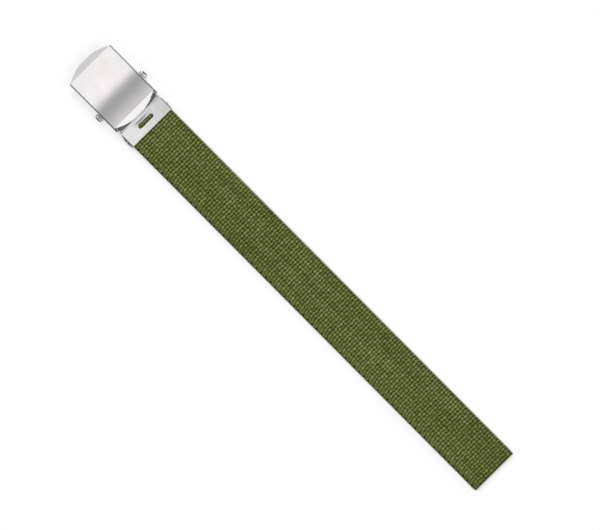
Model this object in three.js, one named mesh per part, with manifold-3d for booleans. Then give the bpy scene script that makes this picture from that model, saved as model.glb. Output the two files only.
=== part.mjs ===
// A canvas web belt with a box-frame roller buckle, in millimetres, +Z up, lying face up on a flat surface.
// +X runs from the buckle along the strap to its cut end. The belt is centred on X = 0 and Y = 0, and its
// lowest point is at Z = 0.
// A strap of woven web is held at one end in a pressed clamp. The clamp hangs on a pin between the side flanges
// of the buckle's cover. A knurled roller bar rides in slanted slots in those flanges, and it grips the strap's
// other end against the face when the belt is worn.
import * as THREE from "three";
import { mergeVertices } from "three/addons/utils/BufferGeometryUtils.js";
import Module from "manifold-3d";

const wasm = await Module();
wasm.setup();

// Web strap
const WEB_WIDTH = 32;
const WEB_THICKNESS = 2;
const WEB_EDGE_ROUND = 0.5;
const WEB_FREE_LENGTH = 292.7; // from the clamp's mouth to the cut end
const WEB_DROP_LENGTH = 26; // over which the strap comes down from the clamp to the surface
const WEB_END_CLEARANCE = 0.5; // between the tucked end and the clamp's shoulder

// Cover: one pressed sheet with an arched face, two bent lips and two side flanges
const COVER_SHEET = 0.8;
const COVER_HEIGHT = 10; // from the flanges' lower edges to the crown of the face
const COVER_SIDE_CLEARANCE = 0.45; // between the strap's edge and a flange
const COVER_BEND = 1; // outer radius where the face turns down into a flange
const COVER_INNER_BEND = 0.25;
const FACE_LENGTH = 38; // from crease to crease
const FACE_ARCH_RADIUS = 130;
const LIP_REACH = 4.5; // from a crease to the tip of its curved lip
const LIP_BEND_DEG = 12; // how far a lip turns down from the face's own slope
const LIP_INSET = 1.1; // from the cover's side to the end of a lip's curved edge
const FLANGE_CORNER = 2;

// Roller bar
const ROLLER_TO_CREASE = 11.2; // from the bar's axis, at rest, to the crease at the strap's end
const ROLLER_SLOPE_DEG = 25;
const ROLLER_FACE_GAP = 0.7; // left between the raised bar and the face's inner side
const GRIP_DIAMETER = 4.6;
const GRIP_FLUTES = 20;
const GRIP_FLUTE_DEPTH = 0.22;
const GRIP_END_CLEARANCE = 0.35;
const ROLLER_NECK_DIAMETER = 2.5;
const SLOT_CLEARANCE = 0.25;
const KNOB_DIAMETER = 5.2;
const KNOB_LENGTH = 2.85;
const KNOB_FLUTES = 14;
const KNOB_FLUTE_DEPTH = 0.3;
const KNOB_SIDE_CLEARANCE = 0.25;
const KNOB_FLOOR_GAP = 0.8;

// Hinge pin between the cover and the clamp
const HINGE_PAST_CREASE = 0.7;
const HINGE_PIN_DIAMETER = 1.2;
const HINGE_PIN_PROUD = 0.15; // how far its ends stand out of the flanges
const HINGE_CLEARANCE = 0.25;
const EAR_RADIUS = 1.7;
const EAR_SLOPE_DEG = 60; // where the ear's round ends and its straight edge starts

// Clamp plate, one pressed sheet: a flanged plate and a narrower neck that dips under the cover's lip
const CLAMP_SHEET = 0.6;
const CLAMP_LENGTH = 8.7; // from shoulder to mouth
const CLAMP_BEND = 0.9;
const CLAMP_INNER_BEND = 0.3;
const CLAMP_SIDE_CLEARANCE = 0.15; // beside the strap
const CLAMP_WEB_GAP = 0.25; // above and below the strap
const CLAMP_FLOOR_GAP = 0.2;
const CLAMP_FLANGE_INSET = 0.6; // from the plate's ends to the flanges' ends
const CLAMP_CORNER = 0.8;
const NECK_LENGTH = 6.1; // from the hinge pin to the shoulder
const NECK_FLARE = 2.2; // from the waist to the shoulder
const NECK_WAIST_WIDTH = 30.4;
const NECK_ROOT_CLEARANCE = 0.6; // between the neck's widest place and a flange of the cover
const NECK_EAR_CLEARANCE = 0.25; // between an ear and a flange of the cover
const NECK_LEVEL = 0.8; // how far past the pin the neck stays level
const NECK_RISE_LENGTH = 3.4; // over which it then climbs to the plate's level
const WINDOW_LENGTH = 11.8;
const WINDOW_WIDTH = 2.8;
const WINDOW_TO_MOUTH = 5.7;
const DENT_LENGTH = 8.4; // a shallow pressed dent beside the window
const DENT_WIDTH = 1.4;
const DENT_DEPTH = 0.15;
const DENT_TO_WINDOW = 2.45; // between their middles

// Clamp jaw, which closes on the strap from below
const JAW_SHEET = 0.9;
const JAW_FLOOR_GAP = 0.5;
const JAW_SIDE_CLEARANCE = 0.95;
const JAW_MOUTH_GAP = 0.6; // from the mouth to the jaw's toothed edge
const JAW_LENGTH = 6.8;
const JAW_TEETH = 9;
const JAW_TOOTH_DEPTH = 0.8;
const JAW_STUD_DIAMETER = 1;
const JAW_STUD_PROUD = 0.9;
const JAW_STUD_TO_MOUTH = 4.5;

// Places along the belt, measured from the tip of the free lip; the belt is centred at the end of this file
const FREE_CREASE_X = LIP_REACH;
const STRAP_CREASE_X = FREE_CREASE_X + FACE_LENGTH;
const COVER_END_X = STRAP_CREASE_X + LIP_REACH;
const FACE_CENTRE_X = (FREE_CREASE_X + STRAP_CREASE_X) / 2;
const ROLLER_X = STRAP_CREASE_X - ROLLER_TO_CREASE;
const HINGE_X = STRAP_CREASE_X + HINGE_PAST_CREASE;
const NECK_RISE_X = HINGE_X + NECK_LEVEL;
const SHOULDER_X = HINGE_X + NECK_LENGTH;
const MOUTH_X = SHOULDER_X + CLAMP_LENGTH;
const STUD_X = MOUTH_X - JAW_STUD_TO_MOUTH;
const WEB_TUCKED_X = SHOULDER_X + WEB_END_CLEARANCE;
const WEB_END_X = MOUTH_X + WEB_FREE_LENGTH;

// Half widths
const COVER_INNER_HALF = WEB_WIDTH / 2 + COVER_SIDE_CLEARANCE;
const COVER_OUTER_HALF = COVER_INNER_HALF + COVER_SHEET;
const CLAMP_INNER_HALF = WEB_WIDTH / 2 + CLAMP_SIDE_CLEARANCE;
const CLAMP_OUTER_HALF = CLAMP_INNER_HALF + CLAMP_SHEET;
const NECK_ROOT_HALF = COVER_INNER_HALF - NECK_ROOT_CLEARANCE;
const EAR_OUTER_HALF = COVER_INNER_HALF - NECK_EAR_CLEARANCE;
const JAW_HALF = CLAMP_INNER_HALF - JAW_SIDE_CLEARANCE;

// Heights and radii
const JAW_TOP = JAW_FLOOR_GAP + JAW_SHEET;
const STUD_HEIGHT = JAW_TOP - JAW_SHEET / 2;
const WEB_CLAMPED_Z = JAW_TOP + CLAMP_WEB_GAP + WEB_THICKNESS / 2;
const CLAMP_TOP = WEB_CLAMPED_Z + WEB_THICKNESS / 2 + CLAMP_WEB_GAP + CLAMP_SHEET;
const HINGE_HEIGHT = EAR_RADIUS;
const HINGE_HOLE_RADIUS = HINGE_PIN_DIAMETER / 2 + HINGE_CLEARANCE;
const NECK_TOP = HINGE_HEIGHT + HINGE_HOLE_RADIUS + CLAMP_SHEET;
const NECK_EAR_RADIUS = EAR_RADIUS - CLAMP_FLOOR_GAP;
const NECK_END_X = HINGE_X - NECK_EAR_RADIUS;
const ROLLER_REST_HEIGHT = KNOB_DIAMETER / 2 + KNOB_FLOOR_GAP;
const ROLLER_RAISED_HEIGHT = COVER_HEIGHT - COVER_SHEET - ROLLER_FACE_GAP - GRIP_DIAMETER / 2;

const CUT_MARGIN = 5; // how far a cutting tool stands past what it cuts
const ROUND_STEPS = 6; // straight steps in a quarter of a small bend
const ARCH_STEPS = 24;
const FALL_STEPS = 12;
const CIRCLE_STEPS = 24;

const finish = (name, color, roughness, metalness) =>
  new THREE.MeshStandardMaterial({ name, color, roughness, metalness });
const plated = (name) => finish(name, 0xcfcdcc, 0.25, 1);
const canvas = finish("olive_web", 0x5a6033, 0.95, 0);

// A closed geometry as a solid that can be cut and joined.
function solid(geometry) {
  const bare = geometry.clone();
  bare.deleteAttribute("normal");
  bare.deleteAttribute("uv");
  const merged = mergeVertices(bare, 1e-4);
  return new wasm.Manifold(
    new wasm.Mesh({
      numProp: 3,
      vertProperties: new Float32Array(merged.attributes.position.array),
      triVerts: new Uint32Array(merged.index.array),
    }),
  );
}

// A finished solid as a named mesh.
function meshOf(name, shape, material) {
  const made = shape.getMesh();
  const geometry = new THREE.BufferGeometry();
  geometry.setAttribute("position", new THREE.BufferAttribute(made.vertProperties, 3));
  geometry.setIndex(new THREE.BufferAttribute(made.triVerts, 1));
  geometry.computeVertexNormals();
  const mesh = new THREE.Mesh(geometry, material);
  mesh.name = name;
  return mesh;
}

// An outline drawn in X and Z, pushed through Y from -half to half.
function acrossWidth(shape, half) {
  const geometry = new THREE.ExtrudeGeometry(shape, {
    depth: 2 * half,
    bevelEnabled: false,
    curveSegments: ROUND_STEPS * 2,
  });
  geometry.translate(0, 0, -half);
  geometry.rotateX(Math.PI / 2);
  return solid(geometry);
}

// An outline drawn in X and Y, pushed up from low to high.
function upwards(shape, low, high) {
  const geometry = new THREE.ExtrudeGeometry(shape, {
    depth: high - low,
    bevelEnabled: false,
    curveSegments: CIRCLE_STEPS,
  });
  geometry.translate(0, 0, low);
  return solid(geometry);
}

// A closed section of [y, z] points, anticlockwise seen from +X, carried through stations of {x, lift}.
function lofted(section, stations) {
  const count = section.length;
  const points = stations.flatMap(({ x, lift }) => section.map(([y, z]) => [x, y, z + lift]));
  const faces = [];
  for (let s = 0; s + 1 < stations.length; s++) {
    for (let i = 0; i < count; i++) {
      const a = s * count + i;
      const b = s * count + ((i + 1) % count);
      faces.push([a, b, b + count], [a, b + count, a + count]);
    }
  }
  const flat = section.map(([y, z]) => new THREE.Vector2(y, z));
  const last = (stations.length - 1) * count;
  for (const [a, b, c] of THREE.ShapeUtils.triangulateShape(flat, [])) {
    faces.push([a, c, b], [last + a, last + b, last + c]);
  }
  const geometry = new THREE.BufferGeometry();
  geometry.setAttribute("position", new THREE.Float32BufferAttribute(points.flat(), 3));
  geometry.setIndex(faces.flat());
  return solid(geometry);
}

// A block's section with its top at z = 0 and its two upper corners rounded.
function roundedTop(half, radius, depth) {
  const corner = (side) =>
    Array.from({ length: ROUND_STEPS + 1 }, (_, i) => {
      const angle = (i / ROUND_STEPS) * (Math.PI / 2);
      const turn = side > 0 ? angle : Math.PI / 2 - angle;
      return [side * (half - radius + radius * Math.cos(turn)), radius * (Math.sin(turn) - 1)];
    });
  return [[-half, -depth], [half, -depth], ...corner(1), ...corner(-1)];
}

// A sheet bent over a former: the skin, one sheet thick, of a rounded block whose top follows heightAt along X.
function bentSheet({ half, sheet, bend, innerBend, heightAt, places }) {
  const depth = 2 * COVER_HEIGHT;
  const outer = lofted(
    roundedTop(half, bend, depth),
    places.map((x) => ({ x, lift: heightAt(x) })),
  );
  const past = [places[0] - CUT_MARGIN, ...places.slice(1, -1), places.at(-1) + CUT_MARGIN];
  const former = lofted(
    roundedTop(half - sheet, innerBend, depth + CUT_MARGIN),
    past.map((x) => ({ x, lift: heightAt(x) - sheet })),
  );
  return outer.subtract(former);
}

// A round-ended slot's outline between two points.
function slotOutline(from, to, width) {
  const along = to.clone().sub(from).angle();
  const shape = new THREE.Shape();
  shape.absarc(to.x, to.y, width / 2, along - Math.PI / 2, along + Math.PI / 2);
  shape.absarc(from.x, from.y, width / 2, along + Math.PI / 2, along + (3 * Math.PI) / 2);
  shape.closePath();
  return shape;
}

function circleOutline(x, y, radius) {
  return new THREE.Shape().absarc(x, y, radius, 0, 2 * Math.PI);
}

// The outline of a bar with straight flutes along it.
function flutedOutline(diameter, flutes, depth) {
  const points = Array.from({ length: 2 * flutes }, (_, i) => {
    const angle = (i * Math.PI) / flutes;
    const radius = diameter / 2 - (i % 2) * depth;
    return new THREE.Vector2(radius * Math.cos(angle), radius * Math.sin(angle));
  });
  return new THREE.Shape(points);
}

// A round piece along Y, turned from the [radius, y] points of its half on the +Y side.
function turnedBothEnds(half) {
  const mirrored = half.map(([radius, y]) => [radius, -y]).reverse();
  const profile = [...mirrored, ...half].map(([radius, y]) => new THREE.Vector2(radius, y));
  return solid(new THREE.LatheGeometry(profile, CIRCLE_STEPS));
}

// Height of the face's outer side: an arch between the creases, and a straight lip past each.
function faceHeight(x) {
  const half = FACE_LENGTH / 2;
  const away = Math.abs(x - FACE_CENTRE_X);
  const arch = Math.sqrt(FACE_ARCH_RADIUS ** 2 - Math.min(away, half) ** 2) - FACE_ARCH_RADIUS;
  const lipSlope = Math.asin(half / FACE_ARCH_RADIUS) + THREE.MathUtils.degToRad(LIP_BEND_DEG);
  return COVER_HEIGHT + arch - Math.max(away - half, 0) * Math.tan(lipSlope);
}

// The side flange's outline, with a round ear for the hinge pin under the strap's end of the face.
function flangeOutline() {
  const above = COVER_HEIGHT + CUT_MARGIN;
  const earTop = THREE.MathUtils.degToRad(EAR_SLOPE_DEG);
  const shape = new THREE.Shape();
  shape.moveTo(FREE_CREASE_X, above);
  shape.lineTo(FREE_CREASE_X, FLANGE_CORNER);
  shape.absarc(FREE_CREASE_X + FLANGE_CORNER, FLANGE_CORNER, FLANGE_CORNER, Math.PI, 1.5 * Math.PI);
  shape.absarc(HINGE_X, HINGE_HEIGHT, EAR_RADIUS, -Math.PI / 2, earTop);
  shape.lineTo(STRAP_CREASE_X, HINGE_HEIGHT + 2 * EAR_RADIUS);
  shape.lineTo(STRAP_CREASE_X, above);
  shape.closePath();
  return shape;
}

// A lip's outline seen from above: an arc that starts beside the crease and bulges by the lip's reach.
function lipOutline(creaseX, direction) {
  const chord = COVER_OUTER_HALF - LIP_INSET;
  const radius = (chord ** 2 + LIP_REACH ** 2) / (2 * LIP_REACH);
  const centre = creaseX + direction * (LIP_REACH - radius);
  const spread = Math.asin(chord / radius);
  const middle = direction > 0 ? 0 : Math.PI;
  const overlap = creaseX - direction * COVER_SHEET;
  const shape = new THREE.Shape();
  shape.moveTo(overlap, -direction * chord);
  shape.absarc(centre, 0, radius, middle - spread, middle + spread);
  shape.lineTo(overlap, direction * chord);
  shape.closePath();
  return shape;
}

function rollerSlotOutline() {
  const rise = ROLLER_RAISED_HEIGHT - ROLLER_REST_HEIGHT;
  const back = rise / Math.tan(THREE.MathUtils.degToRad(ROLLER_SLOPE_DEG));
  const rest = new THREE.Vector2(ROLLER_X, ROLLER_REST_HEIGHT);
  const raised = new THREE.Vector2(ROLLER_X - back, ROLLER_RAISED_HEIGHT);
  return slotOutline(rest, raised, ROLLER_NECK_DIAMETER + 2 * SLOT_CLEARANCE);
}

function buckleCover() {
  const places = [0];
  for (let i = 0; i <= ARCH_STEPS; i++) {
    places.push(FREE_CREASE_X + (FACE_LENGTH * i) / ARCH_STEPS);
  }
  places.push(COVER_END_X);
  const shell = bentSheet({
    half: COVER_OUTER_HALF,
    sheet: COVER_SHEET,
    bend: COVER_BEND,
    innerBend: COVER_INNER_BEND,
    heightAt: faceHeight,
    places,
  });
  const through = COVER_OUTER_HALF + CUT_MARGIN;
  const freeLip = shell.intersect(upwards(lipOutline(FREE_CREASE_X, -1), 0, COVER_HEIGHT + CUT_MARGIN));
  const strapLip = shell.intersect(upwards(lipOutline(STRAP_CREASE_X, 1), 0, COVER_HEIGHT + CUT_MARGIN));
  return shell
    .intersect(acrossWidth(flangeOutline(), through))
    .add(freeLip)
    .add(strapLip)
    .subtract(acrossWidth(rollerSlotOutline(), through))
    .subtract(acrossWidth(circleOutline(HINGE_X, HINGE_HEIGHT, HINGE_HOLE_RADIUS), through));
}

function rollerBar() {
  const knobFoot = COVER_OUTER_HALF + KNOB_SIDE_CLEARANCE;
  // A knob's radius and how far out it lies, as shares of the knob's full radius and length.
  const domeTable = [
    { radius: 0.86, out: 0 },
    { radius: 1, out: 0.12 },
    { radius: 1, out: 0.48 },
    { radius: 0.88, out: 0.74 },
    { radius: 0.6, out: 0.92 },
    { radius: 0.28, out: 1 },
  ];
  const dome = domeTable.map(({ radius, out }) => [(radius * KNOB_DIAMETER) / 2, knobFoot + out * KNOB_LENGTH]);
  const tip = knobFoot + KNOB_LENGTH;
  const neck = ROLLER_NECK_DIAMETER / 2;
  const grip = acrossWidth(
    flutedOutline(GRIP_DIAMETER, GRIP_FLUTES, GRIP_FLUTE_DEPTH),
    COVER_INNER_HALF - GRIP_END_CLEARANCE,
  );
  return turnedBothEnds([[neck, knobFoot], ...dome, [0, tip]])
    .intersect(acrossWidth(flutedOutline(KNOB_DIAMETER, KNOB_FLUTES, KNOB_FLUTE_DEPTH), tip + CUT_MARGIN))
    .add(grip)
    .translate([ROLLER_X, 0, ROLLER_REST_HEIGHT]);
}

function hingePin() {
  const end = COVER_OUTER_HALF + HINGE_PIN_PROUD;
  const shank = HINGE_PIN_DIAMETER / 2;
  return turnedBothEnds([
    [shank, end - HINGE_PIN_PROUD],
    [shank - HINGE_PIN_PROUD, end],
    [0, end],
  ]).translate([HINGE_X, 0, HINGE_HEIGHT]);
}

// Height of the clamp plate's outer side: level over the pin, a smooth rise along the neck, level to the mouth.
function clampHeight(x) {
  const share = THREE.MathUtils.smoothstep(x, NECK_RISE_X, NECK_RISE_X + NECK_RISE_LENGTH);
  return THREE.MathUtils.lerp(NECK_TOP, CLAMP_TOP, share);
}

// The clamp plate seen from above: the neck narrows to a waist and flares again to the plate's full width.
function clampOutline() {
  const waistX = SHOULDER_X - NECK_FLARE;
  const waist = NECK_WAIST_WIDTH / 2;
  const rootX = HINGE_X + NECK_EAR_RADIUS;
  const narrowing = (rootX + waistX) / 2;
  const flaring = (waistX + SHOULDER_X) / 2;
  const shape = new THREE.Shape();
  shape.moveTo(NECK_END_X, -NECK_ROOT_HALF);
  shape.lineTo(rootX, -NECK_ROOT_HALF);
  shape.bezierCurveTo(narrowing, -NECK_ROOT_HALF, narrowing, -waist, waistX, -waist);
  shape.bezierCurveTo(flaring, -waist, flaring, -CLAMP_OUTER_HALF, SHOULDER_X, -CLAMP_OUTER_HALF);
  shape.lineTo(MOUTH_X, -CLAMP_OUTER_HALF);
  shape.lineTo(MOUTH_X, CLAMP_OUTER_HALF);
  shape.lineTo(SHOULDER_X, CLAMP_OUTER_HALF);
  shape.bezierCurveTo(flaring, CLAMP_OUTER_HALF, flaring, waist, waistX, waist);
  shape.bezierCurveTo(narrowing, waist, narrowing, NECK_ROOT_HALF, rootX, NECK_ROOT_HALF);
  shape.lineTo(NECK_END_X, NECK_ROOT_HALF);
  shape.closePath();
  return shape;
}

// The clamp plate seen from the side: its sheet all along, and the flanges between their insets.
function clampSideOutline(neckPlaces) {
  const low = CLAMP_FLOOR_GAP + CLAMP_CORNER;
  const flangeStart = SHOULDER_X + CLAMP_FLANGE_INSET;
  const flangeEnd = MOUTH_X - CLAMP_FLANGE_INSET;
  const above = CLAMP_TOP + CUT_MARGIN;
  const shape = new THREE.Shape();
  shape.moveTo(NECK_END_X, above);
  for (const x of neckPlaces) {
    shape.lineTo(x, clampHeight(x) - CLAMP_SHEET);
  }
  shape.lineTo(flangeStart, CLAMP_TOP - CLAMP_SHEET);
  shape.absarc(flangeStart + CLAMP_CORNER, low, CLAMP_CORNER, Math.PI, 1.5 * Math.PI);
  shape.absarc(flangeEnd - CLAMP_CORNER, low, CLAMP_CORNER, 1.5 * Math.PI, 2 * Math.PI);
  shape.lineTo(flangeEnd, CLAMP_TOP - CLAMP_SHEET);
  shape.lineTo(MOUTH_X, CLAMP_TOP - CLAMP_SHEET);
  shape.lineTo(MOUTH_X, above);
  shape.closePath();
  return shape;
}

// The neck's ears, which hang from its root inside the cover's flanges and take the hinge pin.
function neckEars() {
  const channel = bentSheet({
    half: EAR_OUTER_HALF,
    sheet: CLAMP_SHEET,
    bend: CLAMP_BEND,
    innerBend: CLAMP_INNER_BEND,
    heightAt: () => NECK_TOP,
    places: [NECK_END_X - CUT_MARGIN, HINGE_X + CUT_MARGIN],
  });
  const side = new THREE.Shape();
  side.moveTo(NECK_END_X, NECK_TOP);
  side.absarc(HINGE_X, HINGE_HEIGHT, NECK_EAR_RADIUS, Math.PI, 2 * Math.PI);
  side.lineTo(HINGE_X + NECK_EAR_RADIUS, NECK_TOP);
  side.closePath();
  return channel.intersect(acrossWidth(side, EAR_OUTER_HALF + CUT_MARGIN));
}

// The dent's cutting tool: a bar with round ends that reaches the dent's depth along its lowest line.
function dentTool(x) {
  const radius = (DENT_WIDTH ** 2 / 4 + DENT_DEPTH ** 2) / (2 * DENT_DEPTH);
  const roundness = DENT_WIDTH / 2;
  const end = [0, 0.5, 1].map((share) => [
    radius - DENT_DEPTH * share ** 2,
    DENT_LENGTH / 2 - roundness * (1 - share),
  ]);
  return turnedBothEnds([...end, [0, DENT_LENGTH / 2]]).translate([x, 0, CLAMP_TOP + radius - DENT_DEPTH]);
}

function clampPlate() {
  const riseSteps = ROUND_STEPS * 2;
  const neckPlaces = [NECK_END_X];
  for (let i = 0; i <= riseSteps; i++) {
    neckPlaces.push(NECK_RISE_X + (NECK_RISE_LENGTH * i) / riseSteps);
  }
  const sheet = bentSheet({
    half: CLAMP_OUTER_HALF,
    sheet: CLAMP_SHEET,
    bend: CLAMP_BEND,
    innerBend: CLAMP_INNER_BEND,
    heightAt: clampHeight,
    places: [...neckPlaces, MOUTH_X],
  });
  const through = CLAMP_OUTER_HALF + CUT_MARGIN;
  const windowX = MOUTH_X - WINDOW_TO_MOUTH;
  const windowReach = (WINDOW_LENGTH - WINDOW_WIDTH) / 2;
  const windowEnds = [-windowReach, windowReach].map((y) => new THREE.Vector2(windowX, y));
  const studHoleRadius = JAW_STUD_DIAMETER / 2 + CLAMP_SIDE_CLEARANCE;
  return sheet
    .intersect(upwards(clampOutline(), 0, CLAMP_TOP + CUT_MARGIN))
    .intersect(acrossWidth(clampSideOutline(neckPlaces), through))
    .add(neckEars())
    .subtract(upwards(slotOutline(...windowEnds, WINDOW_WIDTH), 0, CLAMP_TOP + CUT_MARGIN))
    .subtract(dentTool(windowX - DENT_TO_WINDOW))
    .subtract(acrossWidth(circleOutline(HINGE_X, HINGE_HEIGHT, HINGE_HOLE_RADIUS), through))
    .subtract(acrossWidth(circleOutline(STUD_X, STUD_HEIGHT, studHoleRadius), through));
}

function clampJaw() {
  const front = MOUTH_X - JAW_MOUTH_GAP;
  const root = front - JAW_TOOTH_DEPTH;
  const pitch = (2 * JAW_HALF) / JAW_TEETH;
  const outline = new THREE.Shape();
  outline.moveTo(front - JAW_LENGTH, JAW_HALF);
  outline.lineTo(front - JAW_LENGTH, -JAW_HALF);
  for (let i = 0; i < JAW_TEETH; i++) {
    outline.lineTo(root, i * pitch - JAW_HALF);
    outline.lineTo(front, (i + 0.5) * pitch - JAW_HALF);
  }
  outline.lineTo(root, JAW_HALF);
  outline.closePath();
  const reach = CLAMP_OUTER_HALF + JAW_STUD_PROUD;
  const studs = turnedBothEnds([
    [JAW_STUD_DIAMETER / 2, reach],
    [0, reach],
  ]).translate([STUD_X, 0, STUD_HEIGHT]);
  return upwards(outline, JAW_FLOOR_GAP, JAW_TOP).add(studs);
}

// Height of the strap's middle: level in the clamp, then a smooth fall to lie flat on the surface.
function webHeight(x) {
  const share = THREE.MathUtils.smoothstep(x, MOUTH_X, MOUTH_X + WEB_DROP_LENGTH);
  return THREE.MathUtils.lerp(WEB_CLAMPED_Z, WEB_THICKNESS / 2, share);
}

function webStrap() {
  const half = WEB_WIDTH / 2;
  const thick = WEB_THICKNESS / 2;
  const round = WEB_EDGE_ROUND;
  const rightSide = [
    [half - round, -thick],
    [half, round - thick],
    [half, thick - round],
    [half - round, thick],
  ];
  const leftSide = rightSide.map(([y, z]) => [-y, z]).reverse();
  const places = [WEB_TUCKED_X];
  for (let i = 0; i <= FALL_STEPS; i++) {
    places.push(MOUTH_X + (WEB_DROP_LENGTH * i) / FALL_STEPS);
  }
  places.push(WEB_END_X);
  return lofted(
    [...rightSide, ...leftSide],
    places.map((x) => ({ x, lift: webHeight(x) })),
  );
}

const belt = new THREE.Group();
belt.add(
  meshOf("buckle_cover", buckleCover(), plated("cover_steel")),
  meshOf("roller_bar", rollerBar(), plated("roller_steel")),
  meshOf("hinge_pin", hingePin(), plated("pin_steel")),
  meshOf("clamp_plate", clampPlate(), plated("clamp_steel")),
  meshOf("clamp_jaw", clampJaw(), plated("jaw_steel")),
  meshOf("web_strap", webStrap(), canvas),
);
belt.position.x = -WEB_END_X / 2;

const root = new THREE.Group();
root.add(belt);
export default root;
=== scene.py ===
"""Dresses a canvas web belt with a box-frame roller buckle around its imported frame.

Lengths are in millimetres, and places along the belt are measured from the tip of the buckle's free lip. The
finishes and the studio use the frame's metres.
"""

from __future__ import annotations

import logging
import math
from dataclasses import dataclass, field
from enum import Enum

import bmesh
import bpy
import numpy as np
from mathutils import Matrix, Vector

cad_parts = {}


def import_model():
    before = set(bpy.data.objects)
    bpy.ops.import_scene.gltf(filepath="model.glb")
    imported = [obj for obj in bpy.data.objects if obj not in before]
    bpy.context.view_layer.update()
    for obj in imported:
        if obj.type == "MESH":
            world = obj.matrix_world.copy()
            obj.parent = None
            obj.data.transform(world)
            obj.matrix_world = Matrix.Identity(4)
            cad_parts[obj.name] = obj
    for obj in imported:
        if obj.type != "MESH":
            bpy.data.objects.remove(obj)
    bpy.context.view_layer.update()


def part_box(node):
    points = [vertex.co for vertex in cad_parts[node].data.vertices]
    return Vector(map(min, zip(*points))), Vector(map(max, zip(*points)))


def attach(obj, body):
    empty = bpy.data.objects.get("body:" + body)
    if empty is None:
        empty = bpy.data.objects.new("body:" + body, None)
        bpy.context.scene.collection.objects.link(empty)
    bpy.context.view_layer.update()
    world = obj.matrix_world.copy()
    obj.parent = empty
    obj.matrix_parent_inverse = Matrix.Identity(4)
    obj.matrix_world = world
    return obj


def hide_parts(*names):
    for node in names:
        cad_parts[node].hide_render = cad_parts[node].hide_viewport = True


MM = 0.001
SEED = 4424
QUARTER = math.pi / 2
CURVE_STEPS = 14

Point = tuple[float, float]
Triple = tuple[float, float, float]
Counts = tuple[int, int]
Row = tuple[float, float, float, int]
Socket = bpy.types.NodeSocket

BLACK: Triple = (0.0, 0.0, 0.0)
WHITE: Triple = (1.0, 1.0, 1.0)

log = logging.getLogger("belt")


class Body(Enum):
    """The frame's moving bodies, by what they carry."""

    STRAP = "strap_and_clamp"
    COVER = "cover"
    ROLLER = "roller"


class Grain(Enum):
    """How a metal surface was finished, as noise scales per metre along X, Y and Z."""

    BRUSHED_ACROSS = (5200.0, 160.0, 900.0)
    TURNED = (2600.0, 2600.0, 2600.0)
    DRAWN = (3000.0, 300.0, 3000.0)


class Join(Enum):
    """How two solids are combined."""

    CUT = "DIFFERENCE"
    KEEP = "INTERSECT"
    ADD = "UNION"


class Shade:
    """A number that varies over a surface, held as a node socket, which takes part in plain arithmetic."""

    def __init__(self, tree: bpy.types.NodeTree, socket: Socket) -> None:
        """Holds the socket of a node in the tree."""
        self.tree = tree
        self.socket = socket

    def _math(self, operation: str, *values: Shade | float) -> Shade:
        """The result of a new Math node whose sockets hold the values, in order."""
        node = self.tree.nodes.new("ShaderNodeMath")
        node.operation = operation
        for place, value in enumerate(values):
            if isinstance(value, Shade):
                self.tree.links.new(value.socket, node.inputs[place])
            else:
                node.inputs[place].default_value = value
        return Shade(self.tree, node.outputs[0])

    def __add__(self, other: Shade | float) -> Shade:
        """This plus the other."""
        return self._math("ADD", self, other)

    __radd__ = __add__

    def __sub__(self, other: Shade | float) -> Shade:
        """This less the other."""
        return self._math("SUBTRACT", self, other)

    def __rsub__(self, other: float) -> Shade:
        """The other less this."""
        return self._math("SUBTRACT", other, self)

    def __mul__(self, other: Shade | float) -> Shade:
        """This times the other."""
        return self._math("MULTIPLY", self, other)

    __rmul__ = __mul__

    def __pow__(self, power: float) -> Shade:
        """This to a power."""
        return self._math("POWER", self, power)

    def wave(self) -> Shade:
        """The sine of this, in radians."""
        return self._math("SINE", self)

    def clipped(self, low: float = 0.0, high: float = 1.0) -> Shade:
        """This, held between low and high."""
        return self._math("MINIMUM", self._math("MAXIMUM", self, low), high)

    def above(self, start: float, end: float) -> Shade:
        """0 where this is at start or under, 1 at end or over, and a straight line between."""
        return ((self - start) * (1 / (end - start))).clipped()


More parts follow.
